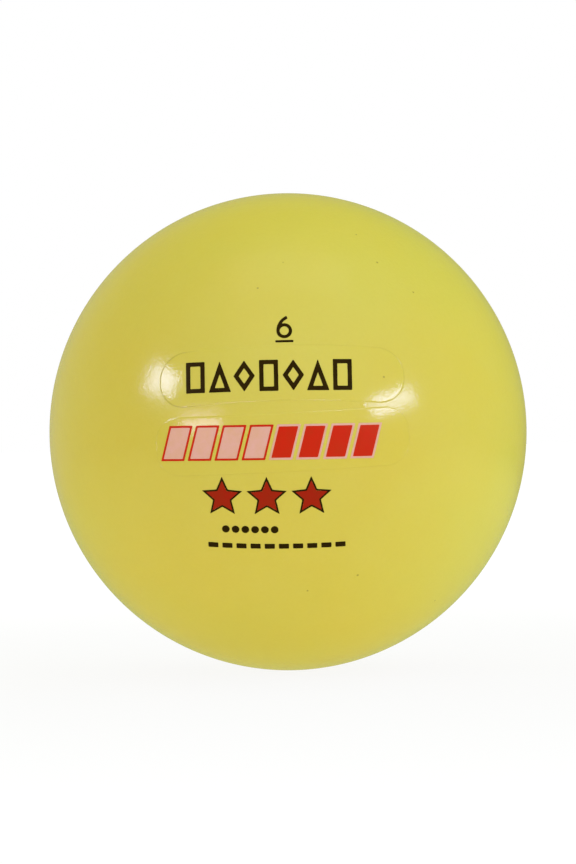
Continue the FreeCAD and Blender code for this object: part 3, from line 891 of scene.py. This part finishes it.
class Surface(Shader):
    """A material with one principled shader, in object coordinates."""

    def __init__(self, name):
        self.material = bpy.data.materials.new(name)
        self.material.use_nodes = True
        super().__init__(self.material.node_tree)
        self.out = self.new("ShaderNodeOutputMaterial")
        self.bsdf = self.new("ShaderNodeBsdfPrincipled")
        self.put(self.out.inputs[0], self.bsdf.outputs[0])
        self.coord = self.new("ShaderNodeTexCoord").outputs["Object"]

    def finish(self, inputs):
        """Fills the principled shader's inputs and returns the material."""
        for name, value in inputs.items():
            self.put(self.bsdf.inputs[name], value)
        return self.material

    def noise(self, scale, detail, rough, seed):
        node = self.new("ShaderNodeTexNoise", noise_dimensions="4D")
        self.put(node.inputs["Vector"], self.coord)
        node.inputs["W"].default_value = seed
        node.inputs["Scale"].default_value = scale
        node.inputs["Detail"].default_value = detail
        node.inputs["Roughness"].default_value = rough
        return node.outputs["Fac"]

    def remap(self, value, source, target=(0.0, 1.0), mode="LINEAR"):
        """Maps the range source to the range target."""
        node = self.new("ShaderNodeMapRange", interpolation_type=mode)
        self.put(node.inputs["Value"], value)
        for key, limit in zip(("From Min", "From Max", "To Min", "To Max"), source + target):
            node.inputs[key].default_value = limit
        return node.outputs["Result"]

    def mottle(self, source, target=(0.0, 1.0), **noise):
        """Noise with its range source mapped to target."""
        return self.remap(self.noise(**noise), source, target)

    def attribute(self, name):
        return self.new("ShaderNodeAttribute", attribute_name=name).outputs["Fac"]

    def bump(self, height, distance, strength, under=None):
        """A bump of the given distance in metres, on top of another."""
        node = self.new("ShaderNodeBump")
        node.inputs["Strength"].default_value = strength
        node.inputs["Distance"].default_value = distance
        self.put(node.inputs["Height"], height)
        if under is not None:
            self.put(node.inputs["Normal"], under)
        return node.outputs["Normal"]

    def mould_waves(self):
        """The slow waves of the moulded skin, which the ink follows."""
        waves = self.noise(scale=55.0, detail=2.0, rough=0.5, seed=2.2)
        return self.bump(waves, distance=0.00016, strength=0.55)


def srgb(*channels):
    """Linear colour from sRGB channels of 0 to 255."""

    def linear(channel):
        channel /= 255.0
        return channel / 12.92 if channel <= 0.04045 else ((channel + 0.055) / 1.055) ** 2.4

    return (*map(linear, channels), 1.0)


# Specks in the vinyl on the badge side: x, z, radius.
SPECKS = (
    (27.9, 50.8, 0.34), (38.6, 41.5, 0.30), (21.9, 59.9, 0.26), (-8.3, 43.0, 0.30),
    (28.6, 15.7, 0.32), (5.0, -47.7, 0.28), (20.1, -43.3, 0.34), (44.5, -53.0, 0.30),
)
VINYL_WARM = srgb(219, 203, 70)
VINYL_COOL = srgb(214, 206, 77)
VINYL_PALE = srgb(223, 211, 90)
VINYL_GRAIN = srgb(203, 188, 58)
SPECK_COLOUR = srgb(120, 104, 34)
# colour of the painted shade line round the panels
EDGE_SHADE_COLOUR = srgb(122, 112, 34)
ROUGH_SKIN, ROUGH_PANEL = 0.17, 0.12

# Pad-printed inks: name, dense colour, thin colour, how much the thin colour
# shows, roughness, specular level.
INKS = (
    ("ink_black", srgb(36, 22, 0), srgb(60, 44, 2), 0.4, 0.36, 0.14),
    ("ink_red", srgb(206, 33, 10), srgb(190, 46, 12), 0.6, 0.35, 0.22),
    ("ink_dark_red", srgb(166, 26, 8), srgb(148, 40, 10), 0.6, 0.35, 0.18),
    ("ink_pale", srgb(228, 177, 152), srgb(222, 173, 124), 0.8, 0.35, 0.45),
)


def vinyl_specks(vinyl):
    """Mask of the placed specks and of fainter ones scattered all over."""
    mask = None
    for x, z, radius in SPECKS:
        centre = tuple(on_front(x, z) * RADIUS * MM)
        distance = vinyl.vector("DISTANCE", vinyl.coord, centre)
        edge = (radius * MM * 0.5, radius * MM * 1.5)
        speck = vinyl.remap(distance, edge, (1.0, 0.0), mode="SMOOTHSTEP")
        mask = speck if mask is None else vinyl.calc("MAXIMUM", mask, speck)
    cells = vinyl.new("ShaderNodeTexVoronoi", feature="F1")
    vinyl.put(cells.inputs["Vector"], vinyl.coord)
    cells.inputs["Scale"].default_value = 45.0
    tiny = vinyl.remap(
        cells.outputs["Distance"], source=(0.008, 0.02), target=(1.0, 0.0), mode="SMOOTHSTEP"
    )
    return vinyl.calc("MAXIMUM", mask, vinyl.calc("MULTIPLY", tiny, 0.6))


def skin_material():
    vinyl = Surface("vinyl_yellow")

    def tint(under, mask, amount, colour):
        return vinyl.mix(vinyl.calc("MULTIPLY", mask, amount), under, colour)

    cloud = vinyl.mottle((0.35, 0.65), scale=14.0, detail=3.0, rough=0.5, seed=1.3)
    patch = vinyl.mottle((0.3, 0.7), scale=60.0, detail=4.0, rough=0.55, seed=4.1)
    colour = vinyl.mix(cloud, VINYL_WARM, VINYL_COOL)
    colour = tint(colour, patch, amount=0.22, colour=VINYL_PALE)
    grain = vinyl.mottle((0.3, 0.7), scale=900.0, detail=2.0, rough=0.6, seed=7.7)
    colour = tint(colour, grain, amount=0.10, colour=VINYL_GRAIN)
    colour = tint(colour, vinyl_specks(vinyl), amount=0.55, colour=SPECK_COLOUR)
    # painted shade: a dark, mottled line along the step round each panel
    edge_shade = vinyl.mottle(
        (0.3, 0.7), target=(0.30, 0.65), scale=120.0, detail=3.0, rough=0.6, seed=5.9
    )
    colour = tint(colour, vinyl.attribute("outline"), amount=edge_shade, colour=EDGE_SHADE_COLOUR)

    smear = vinyl.mottle(
        (0.3, 0.7), target=(-0.02, 0.02), scale=40.0, detail=4.0, rough=0.6, seed=9.2
    )
    rough = vinyl.remap(
        vinyl.attribute("polish"), source=(0.0, 1.0), target=(ROUGH_SKIN, ROUGH_PANEL)
    )
    # the mould's surface: slow waves, orange peel and a fine matt grain
    peel = vinyl.noise(scale=420.0, detail=2.0, rough=0.5, seed=5.5)
    fine = vinyl.noise(scale=1500.0, detail=2.0, rough=0.5, seed=8.8)
    normal = vinyl.bump(peel, distance=0.00005, strength=0.8, under=vinyl.mould_waves())
    normal = vinyl.bump(fine, distance=0.000027, strength=1.0, under=normal)
    return vinyl.finish({
        "Base Color": colour,
        "Roughness": vinyl.calc("ADD", rough, smear),
        "Normal": normal,
        "IOR": 1.58,
        "Subsurface Weight": 0.22,
        "Subsurface Radius": (1.0, 0.75, 0.20),
        "Subsurface Scale": 0.0016,
    })


def ink_material(name, dense, thin, show, rough, shine):
    """Ink that is dense in most places and thinner in clouds and pinholes."""
    ink = Surface(name)
    cloud = ink.mottle((0.35, 0.75), scale=260.0, detail=4.0, rough=0.6, seed=3.1)
    pinholes = ink.mottle((0.60, 0.78), scale=1400.0, detail=2.0, rough=0.6, seed=6.4)
    colour = ink.mix(ink.calc("MULTIPLY", cloud, show), dense, thin)
    colour = ink.mix(ink.calc("MULTIPLY", pinholes, show * 0.8), colour, thin)
    roughness = ink.mottle(
        (0.3, 0.7), target=(rough - 0.06, rough + 0.08),
        scale=300.0, detail=3.0, rough=0.6, seed=1.7,
    )
    peel = ink.noise(scale=700.0, detail=3.0, rough=0.6, seed=5.1)
    return ink.finish({
        "Base Color": colour,
        "Roughness": roughness,
        "Normal": ink.bump(peel, distance=0.000012, strength=0.6, under=ink.mould_waves()),
        "IOR": 1.45,
        "Specular IOR Level": shine,
        "Specular Tint": (1.0, 0.86, 0.36, 1.0),
    })


def rubber_material(name, colour, other, rough):
    rubber = Surface(name)
    cloud = rubber.mottle((0.3, 0.7), scale=500.0, detail=4.0, rough=0.6, seed=2.9)
    roughness = rubber.mottle(
        (0.3, 0.7), target=(rough - 0.07, rough + 0.07),
        scale=900.0, detail=3.0, rough=0.6, seed=4.9,
    )
    grain = rubber.noise(scale=1500.0, detail=3.0, rough=0.6, seed=6.9)
    return rubber.finish({
        "Base Color": rubber.mix(cloud, colour, other),
        "Roughness": roughness,
        "Normal": rubber.bump(grain, distance=0.00002, strength=0.6),
    })


def dress(obj, material):
    obj.data.materials.clear()
    obj.data.materials.append(material)


# ---------------------------------------------------------------- the studio
VIEW_ROLL = math.radians(1.0)  # the view and its lights stand this far off level

# Lamps: corners in metres (top left, top right, bottom right, bottom left, as
# seen from the ball's front) and radiance in red, green and blue.
BOXES = (
    ("box_left",
     ((-1.391, -0.370, 0.698), (-1.198, -0.846, 0.640),
      (-1.294, -0.877, 0.343), (-1.436, -0.539, 0.455)), (7.1, 7.3, 10.9)),
    ("box_right",
     ((0.950, -1.238, 0.353), (1.339, -0.716, 0.505),
      (1.365, -0.773, 0.314), (1.038, -1.197, 0.221)), (7.1, 7.7, 12.1)),
    ("box_low_left",
     ((-1.224, -1.015, 0.180), (-0.813, -1.363, 0.203),
      (-0.803, -1.384, 0.021), (-1.227, -1.027, -0.003)), (5.9, 4.1, 7.1)),
    ("box_top",
     ((-0.517, 0.055, 1.513), (0.548, 0.081, 1.501),
      (0.595, -0.558, 1.376), (-0.557, -0.581, 1.383)), (0.28, 0.28, 0.22)),
)
# Broad lobes of soft light: direction, the light they shed, and how bright they
# look in a reflection.
WALLS = (
    ((0, 0, 1), (0.752, 0.800, 0.328), (0.000, 0.024, 0.000)),
    ((1, 0, 0), (0.752, 0.808, 1.250), (0.000, 0.032, 0.000)),
    ((0, 1, 1), (0.624, 0.664, 0.688), (0.000, 0.008, 0.000)),
    ((1, -1, 0), (0.560, 0.560, 1.152), (0.168, 0.144, 0.000)),
    ((1, 1, 0), (0.368, 0.416, 0.440), (0.000, 0.000, 0.000)),
    ((-1, 1, 0), (0.352, 0.368, 0.280), (0.304, 0.296, 0.264)),
    ((-1, 0, 0), (0.272, 0.272, 0.424), (0.008, 0.024, 0.016)),
    ((0, -1, 1), (0.256, 0.232, 0.000), (0.664, 0.656, 0.616)),
    ((0, 1, 0), (0.240, 0.256, 0.168), (0.264, 0.280, 0.128)),
    ((0, -1, 0), (0.032, 0.000, 0.176), (0.152, 0.136, 0.088)),
    ((-1, -1, 0), (0.000, 0.000, 0.008), (0.024, 0.000, 0.016)),
)
# The floor's own light: its colour far out and what is added near the ball.
FLOOR_SHED = ((0.354, 0.298, 0.352), (0.24, 0.27, 0.00))
FLOOR_MIRRORED = ((0.433, 0.499, 0.257), (0.09, 0.05, 0.00))
FLOOR_GLOW_REACH = 0.06  # metres
# Near the ball the floor is dimmer to the camera: painted shade round the ball.
FLOOR_SEEN = (0.90, 0.98)  # brightness to the camera, near and far


def rolled(point):
    """A point or direction turned with the view."""
    cos, sin = math.cos(VIEW_ROLL), math.sin(VIEW_ROLL)
    return Vector((point[0] * cos + point[2] * sin, point[1], -point[0] * sin + point[2] * cos))


def floor_material():
    """A white floor that looks different to the camera, to reflections and to
    the surfaces it lights."""
    white = Surface("floor_white")
    reach = white.vector("LENGTH", white.coord)
    path = white.new("ShaderNodeLightPath")
    by_camera, by_gloss = path.outputs["Is Camera Ray"], path.outputs["Is Glossy Ray"]

    def by_ray(seen, mirrored, other):
        return white.mix(by_camera, white.mix(by_gloss, other, mirrored), seen)

    def grey(level):
        return (level, level, level, 1)

    def glow(far, added):
        """Even light, and a little more right round the ball."""
        square = white.calc("POWER", white.calc("DIVIDE", reach, FLOOR_GLOW_REACH), 2.0)
        spot = white.calc("EXPONENT", white.calc("MULTIPLY", square, -1.0))
        near = tuple(base + extra for base, extra in zip(far, added))
        return white.mix(spot, (*far, 1), (*near, 1))

    # painted shade: the floor looks dimmer to the camera near the ball
    seen = white.remap(reach, source=(0.10, 0.60), target=FLOOR_SEEN, mode="SMOOTHSTEP")
    white.finish({
        "Roughness": 0.9,
        "Specular IOR Level": 0.0,
        "Emission Strength": 1.0,
        "Emission Color": by_ray(seen, glow(*FLOOR_MIRRORED), glow(*FLOOR_SHED)),
        "Base Color": by_ray(seen=grey(0.07), mirrored=grey(0.0), other=grey(0.62)),
    })
    # far out the floor gives way to the soft light behind it, so that no horizon
    # shows in the ball's shine
    far = white.remap(reach, source=(0.15, 0.9), mode="SMOOTHSTEP")
    clearness = white.calc("MULTIPLY", far, white.calc("SUBTRACT", 1.0, by_camera))
    clear = white.new("ShaderNodeBsdfTransparent").outputs[0]
    faded = white.mix_shaders(clearness, white.bsdf.outputs[0], clear)
    white.put(white.out.inputs[0], faded)
    # lit surfaces find the floor by their own rays only, so that each kind of
    # ray meets its own strength
    white.material.cycles.emission_sampling = "NONE"
    return white.material


def build_floor():
    mesh = bpy.data.meshes.new("studio_floor")
    bm = bmesh.new()
    bmesh.ops.create_grid(bm, x_segments=8, y_segments=8, size=12.0)
    bm.to_mesh(mesh)
    bm.free()
    floor = bpy.data.objects.new("studio_floor", mesh)
    bpy.context.scene.collection.objects.link(floor)
    floor.location = (0, 0, -RADIUS * MM - 0.0001)
    mesh.materials.append(floor_material())


def build_world():
    """White to the camera; soft walls of light to everything else."""
    world = bpy.data.worlds.new("studio")
    bpy.context.scene.world = world
    world.cycles.sampling_method = "NONE"
    world.use_nodes = True
    sky = Shader(world.node_tree)
    out = sky.new("ShaderNodeOutputWorld")
    backdrop = sky.new("ShaderNodeBackground")
    backdrop.inputs["Color"].default_value = (1, 1, 1, 1)
    backdrop.inputs["Strength"].default_value = 1.0
    walls = sky.new("ShaderNodeBackground")
    path = sky.new("ShaderNodeLightPath")
    coord = sky.new("ShaderNodeTexCoord").outputs["Generated"]
    total = (0.0, 0.0, 0.0)
    for direction, shed, mirrored in WALLS:
        axis = rolled(Vector(direction).normalized())
        facing = sky.calc("MAXIMUM", sky.vector("DOT_PRODUCT", coord, axis), 0.0)
        lobe = sky.calc("POWER", facing, 2.0)
        colour = sky.mix(path.outputs["Is Glossy Ray"], (*shed, 1), (*mirrored, 1))
        total = sky.vector("MULTIPLY_ADD", lobe, colour, total, output="Vector")
    sky.put(walls.inputs["Color"], total)
    by_camera = path.outputs["Is Camera Ray"]
    mixed = sky.mix_shaders(by_camera, walls.outputs[0], backdrop.outputs[0])
    sky.put(out.inputs[0], mixed)


def softbox(name, corners, radiance):
    """A rectangular lamp through four corners, facing the ball."""
    top_left, top_right, low_right, low_left = (rolled(Vector(c)) for c in corners)
    centre = (top_left + top_right + low_right + low_left) / 4
    right = ((top_right - top_left) + (low_right - low_left)) / 2
    up = ((top_left - low_left) + (top_right - low_right)) / 2
    width, height = right.length, up.length
    z = centre.normalized()
    x = (right - z * right.dot(z)).normalized()
    y = z.cross(x)
    if y.dot(up) < 0:
        x, y = -x, -y
    light = bpy.data.lights.new(name, "AREA")
    light.shape = "RECTANGLE"
    light.size, light.size_y = width, height
    strongest = max(radiance)
    light.color = [channel / strongest for channel in radiance]
    light.energy = strongest * width * height * math.pi
    lamp = bpy.data.objects.new(name, light)
    bpy.context.scene.collection.objects.link(lamp)
    pose = Matrix((x, y, z)).transposed().to_4x4()
    pose.translation = centre
    lamp.matrix_world = pose


def build_camera():
    """A level camera in front of the badge, rolled with the view."""
    lens = bpy.data.cameras.new("camera")
    lens.sensor_fit = "AUTO"
    lens.sensor_width = 36.0
    lens.lens = 117.0
    lens.shift_x = -4.62963e-5
    lens.shift_y = -3.125e-4
    lens.clip_start = 0.01
    camera = bpy.data.objects.new("camera", lens)
    scene = bpy.context.scene
    scene.collection.objects.link(camera)
    camera.location = (0, -0.9, 0)
    camera.rotation_euler = (math.radians(90), 0, 0)
    camera.rotation_euler.rotate_axis("Z", -VIEW_ROLL)
    scene.camera = camera
    scene.view_settings.view_transform = "Standard"
    scene.view_settings.look = "None"


# -------------------------------------------------------------- all together
skin = build_skin()
seat = build_seat()
core = build_core()
films = [build_film(film, i + 1) for i, (film, slot, _) in enumerate(FILMS)]

dress(skin, skin_material())
dress(seat, rubber_material(
    "seat_rubber", colour=srgb(206, 192, 78), other=srgb(194, 178, 64), rough=0.42
))
dress(core, rubber_material(
    "core_rubber", colour=srgb(38, 37, 35), other=srgb(52, 50, 46), rough=0.5
))
inks = {ink[0]: ink_material(*ink) for ink in INKS}
for film, (_, _, ink) in zip(films, FILMS):
    dress(film, inks[ink])

build_floor()
build_world()
for name, corners, radiance in BOXES:
    softbox(name, corners, radiance)
build_camera()
